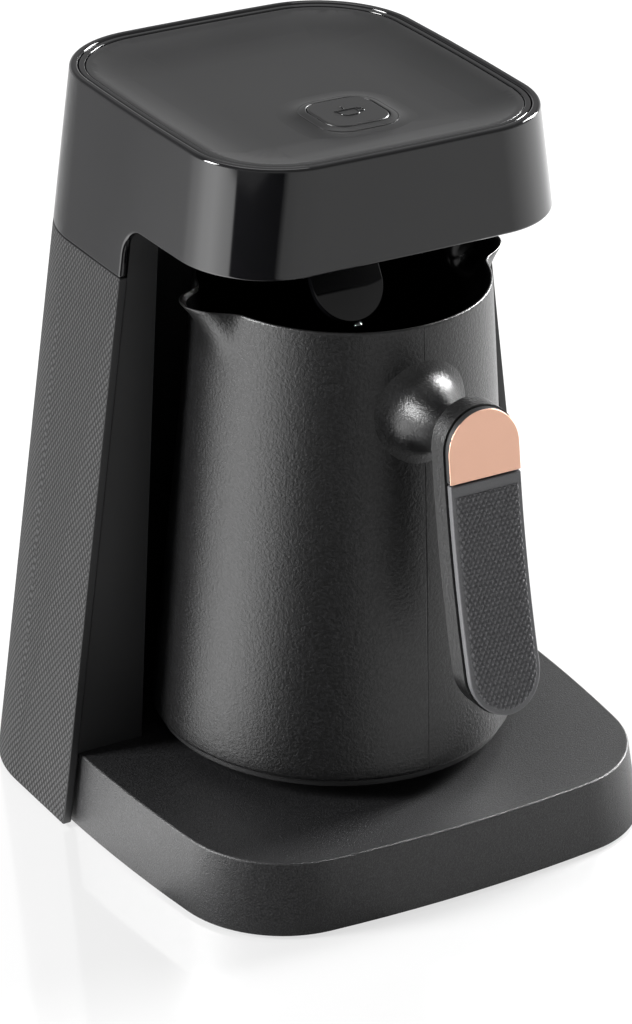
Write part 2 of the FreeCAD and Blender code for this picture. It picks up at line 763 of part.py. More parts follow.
def make_connector():
    flange_low = "base_top - base_wall - connector_flange_thickness"
    shoulder = "base_top - base_wall"
    corners = [
        ("0", flange_low),
        ("connector_flange", flange_low),
        ("connector_flange", shoulder),
        ("connector_radius", shoulder),
        ("connector_radius", "seat_top"),
        ("0", "seat_top"),
    ]
    body = turned("connector_core", corners)
    doc.recompute()
    core = body.Shape.copy()
    centre = size("jug_place")
    low = size("base_top") - size("base_wall") - size("connector_flange_thickness")
    pins = []
    for index in (-1, 0, 1):
        x = index * size("pin_pitch")
        hole = upright_cylinder(size("pin_radius") + size("screw_fit"), x, centre, low - 1, 40)
        core = core.cut(hole)
        pins.append(upright_cylinder(size("pin_radius"), x, centre, size("pin_bottom"), size("seat_top")))
    screws = []
    for side in (-1, 1):
        x = side * size("connector_screw_place")
        hole = upright_cylinder(size("screw_radius") + size("screw_clearance"), x, centre, low - 1, 40)
        core = core.cut(hole)
        one = screw(size("screw_radius"), size("screw_head_radius"), size("screw_head_height"), 6.0)
        screws.append(placed(one, Vector(x, centre, low - size("screw_head_height"))))
    feature("base_connector", core)
    feature("contact_pins", Part.makeCompound(pins))
    feature("connector_screws", Part.makeCompound(screws))


def make_column_inside():
    front = size("frame_front")
    back = front + size("frame_thickness")
    board_front = size("power_board_front")
    board_back = board_front + size("power_board_thickness")
    frame = block(-size("frame_half_width"), size("frame_half_width"), front, back, size("base_top"), size("frame_top"))
    board = block(-size("power_board_half_width"), size("power_board_half_width"), board_front, board_back,
                  size("power_board_bottom"), size("power_board_top"))
    inset = size("power_hole_inset")
    screws = []
    for side in (-1, 1):
        for level in (size("power_board_bottom") + inset, size("power_board_top") - inset):
            x = side * (size("power_board_half_width") - inset)
            frame = frame.fuse(cylinder_along_y(size("standoff_radius"), x, level, back, board_front))
            pilot = size("screw_radius") + size("screw_fit")
            frame = frame.cut(cylinder_along_y(pilot, x, level, front + 1, board_front))
            board = board.cut(cylinder_along_y(size("screw_radius") + size("screw_clearance"), x, level, 60, 90))
            one = screw(size("screw_radius"), size("screw_head_radius"), size("screw_head_height"), 6.0)
            head = Vector(x, board_back + size("screw_head_height"), level)
            screws.append(placed(one, head, FreeCAD.Rotation(Vector(1, 0, 0), 90)))
    lead_room = upright_cylinder(size("lead_radius") + 0.4, size("lead_place"), size("lead_rear"),
                                 size("base_top") - 1, size("power_board_bottom"))
    feature("column_frame", frame.cut(lead_room).removeSplitter())
    feature("power_board", board)
    feature("power_board_screws", Part.makeCompound(screws))
    relay_low = size("power_board_top") - size("relay_drop")
    relay_left = size("relay_across") - size("relay_width") / 2
    feature("relay", block(relay_left, relay_left + size("relay_width"), board_back,
                           board_back + size("relay_depth"), relay_low, relay_low + size("relay_height")))
    level = size("power_board_bottom") + size("capacitor_lift")
    feature("capacitor", cylinder_along_y(size("capacitor_radius"), size("capacitor_across"), level, board_back,
                                          board_back + size("capacitor_depth")))

    wall_inside = size("rear_foot") - size("base_rear_margin") - size("base_wall")
    gland_start = wall_inside - size("gland_flange_thickness") - size("gap") * 2
    gland_z = size("gland_height")
    gland = cylinder_along_y(size("gland_radius"), 0, gland_z, gland_start, size("rear_foot"))
    flange = cylinder_along_y(size("gland_flange"), 0, gland_z, gland_start,
                              gland_start + size("gland_flange_thickness"))
    gland = gland.fuse(flange).cut(cylinder_along_y(size("gland_bore"), 0, gland_z, 60, 120))
    feature("cord_gland", gland.removeSplitter())


def make_lead():
    # from the contact pins, back under the base cover, then up to the power board
    x = size("lead_place")
    level = size("lead_level")
    bend = size("lead_bend")
    rear = size("lead_rear")
    top = size("power_board_bottom") - 0.2
    start = Vector(x, size("jug_place"), level)
    corner_start = Vector(x, rear - bend, level)
    corner_end = Vector(x, rear, level + bend)
    centre = Vector(x, rear - bend, level + bend)
    half = bend / math.sqrt(2)
    path = Part.Wire([
        Part.makeLine(start, corner_start),
        Part.Arc(corner_start, centre + Vector(0, half, -half), corner_end).toShape(),
        Part.makeLine(corner_end, Vector(x, rear, top)),
    ])
    ring = Part.Wire([Part.makeCircle(size("lead_radius"), start, Vector(0, 1, 0))])
    feature("connector_lead", path.makePipeShell([ring], True, False))


# Jug

def jug_radius(level, inset=0.0):
    share = (level - size("jug_foot")) / (size("jug_rim") - size("jug_foot"))
    return between(size("jug_foot_radius"), size("jug_rim_radius"), share) - inset


def handle_arc(offset):
    # the handle's outer face as seen from the side: an arc about a centre in front, moved inwards by offset
    points = [
        Vector(0, size("handle_top_face"), size("handle_top")),
        Vector(0, size("handle_middle_face"), size("handle_middle")),
        Vector(0, size("handle_bottom_face"), size("handle_bottom")),
    ]
    curve = Part.Arc(*points).toShape().Curve
    return curve.Center, curve.Radius + offset


def handle_layer(outer, inner, margin):
    low = size("handle_bottom")
    high = size("handle_top")
    rings = []
    for offset in (outer, inner):
        centre, radius = handle_arc(offset)
        rings.append(cylinder_along_x(radius, centre.y, centre.z, -REACH, REACH))
    layer = rings[1].cut(rings[0])
    width = size("handle_half_width") - margin
    straight_low = low + size("handle_half_width")
    straight_high = high - size("handle_half_width")
    stadium = block(-width, width, -REACH, 0, straight_low, straight_high)
    stadium = stadium.fuse(cylinder_along_y(width, 0, straight_low, -REACH, 0))
    stadium = stadium.fuse(cylinder_along_y(width, 0, straight_high, -REACH, 0))
    return layer.common(stadium.removeSplitter())


def face_depth(level, offset):
    centre, radius = handle_arc(offset)
    return centre.y + math.sqrt(radius ** 2 - (level - centre.z) ** 2)


def make_jug():
    axis_y = size("jug_place")
    low = size("jug_foot")
    high = size("jug_rim")
    wall = size("jug_wall")
    base = Vector(0, axis_y, low)
    outside = Part.makeCone(size("jug_foot_radius"), size("jug_rim_radius"), high - low, base)
    spout_inside = None
    reach = size("spout_reach")
    spout_high = high + size("spout_lift")
    for side in (-1, 1):
        place = Vector(side * size("spout_place"), axis_y, spout_high - size("spout_height"))
        cone = Part.makeCone(size("spout_point"), reach, size("spout_height"), place)
        hollow = Part.makeCone(size("spout_point") / 6, reach - size("spout_wall"), size("spout_height") - 2,
                               place + Vector(-side, 0, 2))
        outside = outside.fuse(cone)
        spout_inside = hollow if spout_inside is None else spout_inside.fuse(hollow)
    # the neck that carries the handle runs through the wall and is trimmed inside
    neck_level = size("neck_level")
    face = face_depth(neck_level, size("handle_thickness"))
    neck_start = axis_y - jug_radius(neck_level) + wall
    neck = Part.makeCone(size("neck_wall_radius"), size("neck_end_radius"), neck_start - face + 6,
                         Vector(0, neck_start, neck_level), Vector(0, -1, 0))
    centre, radius = handle_arc(size("handle_thickness") + size("pad_gap") / 2)
    neck = neck.cut(cylinder_along_x(radius, centre.y, centre.z, -REACH, REACH))
    inside = Part.makeCone(jug_radius(low, wall), jug_radius(high, wall), high - low, base)
    inside = inside.fuse(upright_cylinder(jug_radius(high, wall), 0, axis_y, high, high + 9))
    shell = outside.fuse(neck).cut(inside).cut(spout_inside)
    ledge_low = size("ledge_level") - size("jug_ledge_thickness")
    ledge = upright_cylinder(jug_radius(size("ledge_level"), wall / 2), 0, axis_y, ledge_low, size("ledge_level"))
    shell = shell.fuse(ledge)
    shell = shell.cut(upright_cylinder(size("jug_ledge_radius"), 0, axis_y, ledge_low - 1, size("ledge_level") + 1))
    cover_top = size("jug_underside") + size("jug_cover_thickness")
    for turn in range(3):
        angle = math.radians(90 + 120 * turn)
        x = size("jug_boss_place") * math.cos(angle)
        y = axis_y + size("jug_boss_place") * math.sin(angle)
        shell = shell.fuse(upright_cylinder(size("standoff_radius"), x, y, cover_top, ledge_low))
        pilot = size("screw_radius") + size("screw_fit")
        shell = shell.cut(upright_cylinder(pilot, x, y, cover_top, ledge_low + 1.5))
    for side in (-1, 1):
        level = neck_level + side * size("handle_screw_spread")
        start = face_depth(level, size("handle_thickness")) - 1
        pilot = size("screw_radius") + size("screw_fit")
        shell = shell.cut(cylinder_along_y(pilot, 0, level, start, start + 12))
    feature("jug_shell", shell.removeSplitter())


def make_jug_bottom():
    corners = rectangle("jug_cover_radius + gap", "jug_ring_radius", "jug_ring_bottom", "jug_foot")
    name_part(turned("jug_base_ring", corners), "jug_base_ring")
    heater_radius = "jug_ledge_radius + seal_width * 3"
    heater_low = "ledge_level + seal_width / 2"
    corners = rectangle("0", heater_radius, heater_low, heater_low + " + heater_thickness")
    name_part(turned("heater_plate", corners), "heater_plate")
    corners = rectangle("jug_ledge_radius + seal_width", heater_radius, "ledge_level", heater_low)
    name_part(turned("heater_seal", corners), "heater_seal")

    centre = Vector(0, size("jug_place"), size("ledge_level") + size("seal_width") / 2 - size("element_tube"))
    element = Part.makeTorus(size("element_radius"), size("element_tube"), centre)
    feature("heating_element", element)

    low = size("jug_underside")
    high = low + size("jug_cover_thickness")
    axis_y = size("jug_place")
    cover = upright_cylinder(size("jug_cover_radius"), 0, axis_y, low, high)
    cover = cover.cut(upright_cylinder(size("contact_radius") + size("gap"), 0, axis_y, low - 1, high + 1))
    screws = []
    for turn in range(3):
        angle = math.radians(90 + 120 * turn)
        x = size("jug_boss_place") * math.cos(angle)
        y = axis_y + size("jug_boss_place") * math.sin(angle)
        cover = cover.cut(upright_cylinder(size("screw_radius") + size("screw_clearance"), x, y, low, high))
        head_room = size("screw_head_radius") + size("screw_clearance")
        cover = cover.cut(upright_cylinder(head_room, x, y, low, low + size("screw_head_height")))
        one = screw(size("screw_radius"), size("screw_head_radius"), size("screw_head_height") - 0.2, 4.6)
        screws.append(placed(one, Vector(x, y, low + 0.2)))
    feature("jug_bottom_cover", cover)
    feature("jug_screws", Part.makeCompound(screws))
    corners = [
        ("0", "jug_underside"),
        ("contact_radius", "jug_underside"),
        ("contact_radius", "jug_underside + jug_cover_thickness"),
        ("contact_flange", "jug_underside + jug_cover_thickness"),
        ("contact_flange", "jug_underside + jug_cover_thickness + gap * 6"),
        ("0", "jug_underside + jug_cover_thickness + gap * 6"),
    ]
    name_part(turned("jug_connector", corners), "jug_connector")


def make_handle():
    pad = size("pad_thickness")
    gap = size("pad_gap")
    split = size("badge_bottom")
    half_gap = size("badge_gap") / 2
    frame = handle_layer(pad + gap, size("handle_thickness"), 0)
    cover = handle_layer(0, pad, size("pad_margin"))
    above = block(-REACH, REACH, -REACH, 0, split + half_gap, REACH)
    below = block(-REACH, REACH, -REACH, 0, 0, split - half_gap)
    feature("handle_badge", cover.common(above))
    feature("grip_pad", cover.common(below))
    screws = []
    for side in (-1, 1):
        level = size("neck_level") + side * size("handle_screw_spread")
        outer = face_depth(level, pad + gap) + 0.4
        head_back = outer + size("screw_head_height")
        head_room = size("screw_head_radius") + size("screw_clearance")
        frame = frame.cut(cylinder_along_y(head_room, 0, level, outer - 3, head_back))
        frame = frame.cut(cylinder_along_y(size("screw_radius") + size("screw_clearance"), 0, level, outer, outer + 15))
        one = screw(size("screw_radius"), size("screw_head_radius"), size("screw_head_height"), 12.0)
        screws.append(placed(one, Vector(0, outer, level), FreeCAD.Rotation(Vector(1, 0, 0), -90)))
    feature("handle_frame", frame)
    feature("handle_screws", Part.makeCompound(screws))


make_upper_housing()
make_sleeve()
make_front_panel()
make_underside_panel()
make_tray()
make_button_group()
make_head_small_parts()
make_sensor()
make_base()
make_base_bottom()
make_connector()
make_column_inside()
make_lead()
make_jug()
make_jug_bottom()
make_handle()
doc.recompute()

for item in doc.Objects:
    if "Invalid" in item.State or "Error" in item.State:
        raise RuntimeError("failed: " + item.Label)

os.makedirs("parts", exist_ok=True)
for item in made:
    shape = item.Shape
    if shape.isNull() or not shape.isValid() or not shape.Solids:
        raise RuntimeError("bad shape: " + item.Label)
for item in made:
    item.Shape.exportStep("parts/" + item.Label + ".step")
    print(item.Label, len(item.Shape.Solids), round(item.Shape.Volume, 1))
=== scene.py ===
import json
import math
import bmesh
import bpy
from mathutils import Matrix, Vector


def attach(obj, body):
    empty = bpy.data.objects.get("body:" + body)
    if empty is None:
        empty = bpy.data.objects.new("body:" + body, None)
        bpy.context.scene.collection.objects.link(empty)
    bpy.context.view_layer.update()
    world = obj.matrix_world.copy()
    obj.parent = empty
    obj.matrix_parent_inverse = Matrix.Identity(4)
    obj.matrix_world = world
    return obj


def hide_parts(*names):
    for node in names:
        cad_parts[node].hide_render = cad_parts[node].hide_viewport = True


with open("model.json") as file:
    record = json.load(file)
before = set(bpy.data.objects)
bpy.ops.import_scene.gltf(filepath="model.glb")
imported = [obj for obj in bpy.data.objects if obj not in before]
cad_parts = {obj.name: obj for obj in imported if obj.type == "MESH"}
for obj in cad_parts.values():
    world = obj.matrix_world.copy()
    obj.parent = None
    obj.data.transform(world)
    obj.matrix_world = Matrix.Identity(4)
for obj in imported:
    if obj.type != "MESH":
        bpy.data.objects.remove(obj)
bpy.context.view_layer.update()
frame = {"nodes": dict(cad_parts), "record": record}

mm = 0.001
scene = bpy.context.scene
scene.view_settings.view_transform = "Standard"


def hexColor(code):
    # sRGB hex to the linear colour that shaders want
    values = [int(code[i:i + 2], 16) / 255 for i in (0, 2, 4)]
    return tuple(v / 12.92 if v <= 0.04045 else ((v + 0.055) / 1.055) ** 2.4 for v in values) + (1,)


# Camera, standing where the photograph was taken from

camera = {
    "azimuth": -32.41,  # degrees, from the front towards the left
    "elevation": 26.43,
    "roll": 1.56,
    "distance": 1366.9,  # millimetres from the target
    "target": (10.67, 18.14, 84.48),
    "lens": 154.73,  # millimetres, for the sensor width below
    "sensor": 36,
    "shiftX": -0.0233,
    "shiftY": 0.0012,
    "reach": 50,  # metres
}


def makeCamera(c):
    azimuth, elevation, roll = (math.radians(c[k]) for k in ("azimuth", "elevation", "roll"))
    back = Vector((math.sin(azimuth) * math.cos(elevation), -math.cos(azimuth) * math.cos(elevation),
                   math.sin(elevation)))
    right = Vector((0, 0, 1)).cross(back).normalized()
    up = back.cross(right)
    tiltedRight = right * math.cos(roll) + up * math.sin(roll)
    tiltedUp = up * math.cos(roll) - right * math.sin(roll)
    data = bpy.data.cameras.new("camera")
    data.lens = c["lens"]
    data.sensor_width = c["sensor"]
    data.shift_x = c["shiftX"]
    data.shift_y = c["shiftY"]
    data.clip_end = c["reach"]
    obj = bpy.data.objects.new("camera", data)
    scene.collection.objects.link(obj)
    place = Vector(c["target"]) * mm + back * c["distance"] * mm
    turn = Matrix((tiltedRight, tiltedUp, back)).transposed().to_4x4()
    obj.matrix_world = Matrix.Translation(place) @ turn
    scene.camera = obj


makeCamera(camera)
print("camera placed")


# Materials

def addNode(tree, kind, settings=None, links=None):
    # one node, its settings and input values, and links from other nodes' sockets
    node = tree.nodes.new(kind)
    for key, value in (settings or {}).items():
        if isinstance(key, str) and hasattr(node, key):
            setattr(node, key, value)
        else:
            node.inputs[key].default_value = value
    for key, source in (links or {}).items():
        tree.links.new(source, node.inputs[key])
    return node


def newMaterial(name):
    material = bpy.data.materials.new(name)
    material.use_nodes = True
    tree = material.node_tree
    tree.nodes.clear()
    shader = tree.nodes.new("ShaderNodeBsdfPrincipled")
    output = tree.nodes.new("ShaderNodeOutputMaterial")
    tree.links.new(shader.outputs["BSDF"], output.inputs["Surface"])
    return material, tree, shader


def plasticMaterial(name, light, dark, roughness, grain, bump):
    # moulded plastic: a fine grain in its colour and relief, and slow changes in its gloss; millimetres
    material, tree, shader = newMaterial(name)
    place = addNode(tree, "ShaderNodeTexCoord")
    noise = addNode(tree, "ShaderNodeTexNoise", {"Scale": 1 / (grain * mm), "Detail": 2.0, "Roughness": 0.6},
                    {"Vector": place.outputs["Object"]})
    wide = addNode(tree, "ShaderNodeTexNoise", {"Scale": 18.0, "Detail": 2.0}, {"Vector": place.outputs["Object"]})
    colour = addNode(tree, "ShaderNodeMix", {"data_type": "RGBA"}, {0: noise.outputs["Fac"]})
    colour.inputs[6].default_value = hexColor(dark)
    colour.inputs[7].default_value = hexColor(light)
    tree.links.new(colour.outputs[2], shader.inputs["Base Color"])
    low, high = roughness
    rough = addNode(tree, "ShaderNodeMapRange", {"From Min": 0.3, "From Max": 0.7, "To Min": low, "To Max": high},
                    {"Value": wide.outputs["Fac"]})
    tree.links.new(rough.outputs["Result"], shader.inputs["Roughness"])
    relief = addNode(tree, "ShaderNodeBump", {"Strength": 1.0, "Distance": bump * mm},
                     {"Height": noise.outputs["Fac"]})
    tree.links.new(relief.outputs["Normal"], shader.inputs["Normal"])
    return material


def metalMaterial(name, colour, roughness, grain, bump, metallic=1.0):
    # bare metal: a fine turned or blasted grain breaks up its gloss
    material, tree, shader = newMaterial(name)
    place = addNode(tree, "ShaderNodeTexCoord")
    noise = addNode(tree, "ShaderNodeTexNoise", {"Scale": 1 / (grain * mm), "Detail": 3.0},
                    {"Vector": place.outputs["Object"]})
    shader.inputs["Base Color"].default_value = hexColor(colour)
    low, high = roughness
    rough = addNode(tree, "ShaderNodeMapRange", {"From Min": 0.3, "From Max": 0.7, "To Min": low, "To Max": high},
                    {"Value": noise.outputs["Fac"]})
    tree.links.new(rough.outputs["Result"], shader.inputs["Roughness"])
    relief = addNode(tree, "ShaderNodeBump", {"Strength": 1.0, "Distance": bump * mm},
                     {"Height": noise.outputs["Fac"]})
    tree.links.new(relief.outputs["Normal"], shader.inputs["Normal"])
    shader.inputs["Metallic"].default_value = metallic
    return material


def sandedMaterial(name, light, dark, roughness, grit, relief):
    # sand-blasted mould: hard little grains in relief, speckled grey from near by; the lighter colour on the grain
    # tops is a painted glint
    material, tree, shader = newMaterial(name)
    place = addNode(tree, "ShaderNodeTexCoord")
    grains = addNode(tree, "ShaderNodeTexNoise", {"Scale": 1 / (grit * mm), "Detail": 3.0, "Roughness": 0.7},
                     {"Vector": place.outputs["Object"]})
    glintShare = addNode(tree, "ShaderNodeMapRange", {"From Min": 0.42, "From Max": 0.66},
                      {"Value": grains.outputs["Fac"]})
    # painted glint: the lighter colour goes where the grains stand highest
    colour = addNode(tree, "ShaderNodeMix", {"data_type": "RGBA"}, {0: glintShare.outputs["Result"]})
    colour.inputs[6].default_value = hexColor(dark)
    colour.inputs[7].default_value = hexColor(light)
    tree.links.new(colour.outputs[2], shader.inputs["Base Color"])
    low, high = roughness
    rough = addNode(tree, "ShaderNodeMapRange", {"To Min": high, "To Max": low}, {"Value": grains.outputs["Fac"]})
    tree.links.new(rough.outputs["Result"], shader.inputs["Roughness"])
    bump = addNode(tree, "ShaderNodeBump", {"Strength": 1.0, "Distance": relief * mm},
                   {"Height": grains.outputs["Fac"]})
    tree.links.new(bump.outputs["Normal"], shader.inputs["Normal"])
    return material


def wovenMaterial(name, thread, pitShade, pitch, lean, relief):
    # moulded diamond weave: threads cross at a steep angle, with small pits between them that are painted near black
    # as shade
    material, tree, shader = newMaterial(name)
    place = addNode(tree, "ShaderNodeUVMap", {"uv_map": "weave"})
    axes = addNode(tree, "ShaderNodeSeparateXYZ", None, {0: place.outputs["UV"]})
    waves = []
    for side in (-1, 1):
        slope = side * math.tan(math.radians(lean))
        tilted = addNode(tree, "ShaderNodeMath", {"operation": "MULTIPLY_ADD", 1: slope},
                         {0: axes.outputs["Y"], 2: axes.outputs["X"]})
        scaled = addNode(tree, "ShaderNodeMath", {"operation": "MULTIPLY", 1: math.pi / pitch},
                         {0: tilted.outputs[0]})
        wave = addNode(tree, "ShaderNodeMath", {"operation": "SINE"}, {0: scaled.outputs[0]})
        waves.append(addNode(tree, "ShaderNodeMath", {"operation": "ABSOLUTE"}, {0: wave.outputs[0]}))
    height = addNode(tree, "ShaderNodeMath", {"operation": "MULTIPLY"},
                     {0: waves[0].outputs[0], 1: waves[1].outputs[0]})
    # painted shade: the pits between the threads take the near-black colour
    colour = addNode(tree, "ShaderNodeMix", {"data_type": "RGBA"}, {0: height.outputs[0]})
    colour.inputs[6].default_value = hexColor(pitShade)
    colour.inputs[7].default_value = hexColor(thread)
    tree.links.new(colour.outputs[2], shader.inputs["Base Color"])
    rough = addNode(tree, "ShaderNodeMapRange", {"To Min": 0.9, "To Max": 0.46}, {"Value": height.outputs[0]})
    tree.links.new(rough.outputs["Result"], shader.inputs["Roughness"])
    bump = addNode(tree, "ShaderNodeBump", {"Strength": 1.0, "Distance": relief * mm}, {"Height": height.outputs[0]})
    tree.links.new(bump.outputs["Normal"], shader.inputs["Normal"])
    return material


# Finishes: colours as sRGB, roughness from and to, grain and relief in millimetres

# polished ABS: deep black that mirrors the room
glossBlackAbs = plasticMaterial("glossBlackAbs", "0d0d0f", "0a0a0b", (0.04, 0.06), 9.0, 0.0008)
# satin ABS: soft black with a broad dull gleam
satinBlackTray = plasticMaterial("satinBlackTray", "111112", "0d0d0e", (0.34, 0.42), 0.5, 0.008)
# ABS from an etched mould: grey threads round pits painted black as shade
wovenSleeve = wovenMaterial("wovenSleeve", "272728", "020202", 1.7, 33.0, 0.6)
# satin ABS: even charcoal with a broad soft gleam
plainCharcoal = plasticMaterial("plainCharcoal", "161617", "111112", (0.42, 0.52), 0.6, 0.012)
# polypropylene from a blasted mould: gleam, and a speckle of painted glints in its colour; the grit is drawn coarser
# than real, to show
sandedJug = sandedMaterial("sandedJug", "1a1a1b", "050505", (0.25, 0.42), 0.95, 0.2)
# ABS from a finely blasted mould: quieter speckle of painted glints than the jug's
finePlinth = sandedMaterial("finePlinth", "2a2a2b", "0e0e0f", (0.32, 0.46), 0.5, 0.16)
# smooth polypropylene: wet-looking black inside the jug
glossJugInside = plasticMaterial("glossJugInside", "0c0c0d", "09090a", (0.12, 0.18), 4.0, 0.004)
# thermoplastic rubber: mid grey with a dull gleam on each diamond
knurledGrip = plasticMaterial("knurledGrip", "5a5a5c", "48484a", (0.34, 0.42), 0.4, 0.015)
# copper-coloured satin coat on plastic: warm and half metallic
satinCopper = metalMaterial("satinCopper", "f0bfa6", (0.45, 0.52), 0.35, 0.006, 0.55)
# turned stainless steel: bright with a fine grain
turnedSteel = metalMaterial("turnedSteel", "c3c5c7", (0.14, 0.24), 0.4, 0.003)
# drawn spring steel: plain grey metal; the springs are tubes that stand in for coils
springWire = metalMaterial("springWire", "9fa2a5", (0.25, 0.35), 0.3, 0.004)
# zinc-plated steel: dull grey
zincScrew = metalMaterial("zincScrew", "8e9092", (0.3, 0.42), 0.3, 0.006)
# steel with a dark non-stick coat: low grey sheen
coatedHeater = metalMaterial("coatedHeater", "3a3a3c", (0.3, 0.4), 0.6, 0.006)
# plated brass contacts: clean yellow gleam
platedBrass = metalMaterial("platedBrass", "c8a45a", (0.18, 0.28), 0.3, 0.003)
# glass epoxy with solder mask: mottled green
glassEpoxyBoard = plasticMaterial("glassEpoxyBoard", "24663e", "174a2b", (0.3, 0.4), 0.8, 0.01)
# moulded epoxy case: matt black
componentCase = plasticMaterial("componentCase", "1d1d1f", "161618", (0.4, 0.5), 0.5, 0.01)
# moulded polyester case: off-white and a little glossy
paleCase = plasticMaterial("paleCase", "e6e4dc", "d8d5cb", (0.2, 0.28), 0.6, 0.004)
# glass-filled nylon: mottled grey, matt
glassFilledNylon = plasticMaterial("glassFilledNylon", "505153", "424345", (0.5, 0.6), 1.2, 0.02)
# PVC insulation: dark grey, soft gleam
insulatedLead = plasticMaterial("insulatedLead", "2c2c2c", "202020", (0.45, 0.55), 0.8, 0.01)
# rubber: black without gloss
softRubberFeet = plasticMaterial("softRubberFeet", "1f1f1f", "161616", (0.7, 0.8), 0.5, 0.02)
# silicone rubber: brick red, matt
siliconeSeal = plasticMaterial("siliconeSeal", "8a2f26", "74261f", (0.5, 0.6), 1.0, 0.01)

finishes = {
    "gloss_black": glossBlackAbs, "tray_matte": satinBlackTray, "rim_gloss": glossBlackAbs,
    "sleeve_weave": wovenSleeve, "charcoal_plain": plainCharcoal, "jug_plastic": sandedJug,
    "copper": satinCopper, "grip": knurledGrip, "button_plastic": satinBlackTray, "steel": turnedSteel,
    "spring_steel": springWire, "screw_steel": zincScrew, "heater_steel": coatedHeater,
    "contact_brass": platedBrass, "circuit_board": glassEpoxyBoard, "component_black": componentCase,
    "component_light": paleCase, "frame_grey": glassFilledNylon, "cable": insulatedLead,
    "feet_rubber": softRubberFeet, "seal_silicone": siliconeSeal,
}
slotOf = {entry["node"]: entry["material_slot"] for entry in frame["record"]["subparts"]}
for name, slotName in slotOf.items():
    for slot in frame["nodes"][name].material_slots:
        slot.material = finishes[slotName]
print("materials made")


# Pieces that keep the shape of their CAD node, with softened edges

def activate(obj):
    bpy.ops.object.select_all(action="DESELECT")
    bpy.context.view_layer.objects.active = obj
    obj.select_set(True)


def applyModifiers(obj):
    activate(obj)
    for modifier in list(obj.modifiers):
        bpy.ops.object.modifier_apply(modifier=modifier.name)


def newPiece(name, mesh, body, slotName, material, *replaced):
    obj = bpy.data.objects.new(name, mesh)
    scene.collection.objects.link(obj)
    mesh.materials.clear()
    mesh.materials.append(material)
    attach(obj, body)
    if replaced:
        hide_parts(*replaced)
    return obj


softening = {"merge": 0.004, "flat": 0.6, "steps": 3, "sharp": 30, "smooth": 32}  # millimetres, degrees


def softened(node, name, body, material, edge):
    # a copy of a node with merged points and rounded edges, edge in millimetres
    mesh = frame["nodes"][node].data.copy()
    shape = bmesh.new()
    shape.from_mesh(mesh)
    bmesh.ops.remove_doubles(shape, verts=shape.verts, dist=softening["merge"] * mm)
    bmesh.ops.dissolve_limit(shape, angle_limit=math.radians(softening["flat"]), verts=shape.verts,
                             edges=shape.edges)
    shape.to_mesh(mesh)
    shape.free()
    obj = newPiece(name, mesh, body, slotOf[node], material, node)
    bevel = obj.modifiers.new("edges", "BEVEL")
    bevel.width = edge * mm
    bevel.segments = softening["steps"]
    bevel.limit_method = "ANGLE"
    bevel.angle_limit = math.radians(softening["sharp"])
    applyModifiers(obj)
    bpy.ops.object.shade_smooth_by_angle(angle=math.radians(softening["smooth"]))
    flats = obj.modifiers.new("flats", "WEIGHTED_NORMAL")  # the wide walls stay true beside their round edges
    flats.mode = "FACE_AREA"
    flats.weight = 100
    flats.keep_sharp = True
    applyModifiers(obj)
    return obj


softEdges = {  # node: piece, body, material, edge radius in millimetres
    "upper_housing": ("headHousing", "machine", glossBlackAbs, 0.9),
    "column_front_panel": ("columnPanel", "machine", plainCharcoal, 0.4),
    "top_tray": ("topTray", "machine", satinBlackTray, 0.35),
    "tray_rim": ("trayRim", "machine", glossBlackAbs, 0.4),
    "start_button": ("startButton", "button", satinBlackTray, 0.25),
    "base_cover": ("baseCover", "machine", finePlinth, 0.35),
    "jug_base_ring": ("jugBaseRing", "jug", plainCharcoal, 0.4),
    "handle_badge": ("handleBadge", "jug", satinCopper, 0.28),
    "handle_frame": ("handleFrame", "jug", sandedJug, 1.1),
    "grip_pad": ("gripPad", "jug", knurledGrip, 0.5),
}
for node, (name, body, material, edge) in softEdges.items():
    softened(node, name, body, material, edge)
badge = bpy.data.objects["handleBadge"]
badgeShadedSide = -0.25  # faces that look less forward than this are sides
badge.data.materials.append(plainCharcoal)
for polygon in badge.data.polygons:
    if polygon.normal.y > badgeShadedSide:
        polygon.material_index = 1  # the sides get charcoal in place of the copper: painted shade on the side walls
print("softened pieces made")


# Sleeve: its weave follows the wall, measured round from the front

sleeve = softened("body_sleeve", "wovenSleeve", "machine", wovenSleeve, 0.5)
sleeveSize = {
    "middle": 22.0, "halfWidth": 71.0, "halfDepth": 66.0, "corner": 34.0,  # millimetres, half way up
    "cornerSteps": 12,
    "frontEdge": 32,  # millimetres from the middle of the frame; in front of it lies the cut edge
    "levelCut": 0.6, "frontCut": -0.5,  # how far a face looks up or down, or forward, to be a cut edge
}


def roundTheWall(size):
    # a table of direction from the middle and distance along a rounded rectangle
    points = []
    across, along, corner, steps = (size[k] for k in ("halfWidth", "halfDepth", "corner", "cornerSteps"))
    for turn, (sx, sy) in enumerate([(1, -1), (1, 1), (-1, 1), (-1, -1)]):
        for step in range(steps + 1):
            angle = math.radians(-90 + 90 * turn + 90 / steps * step)
            points.append((sx * (across - corner) + corner * math.cos(angle),
                           sy * (along - corner) + corner * math.sin(angle)))
    rows, length = [], 0.0
    for index, point in enumerate(points + points[:1]):
        if index:
            length += math.dist(point, points[index - 1])
        rows.append((math.degrees(math.atan2(point[1], point[0])) % 360, length))
    return rows, length


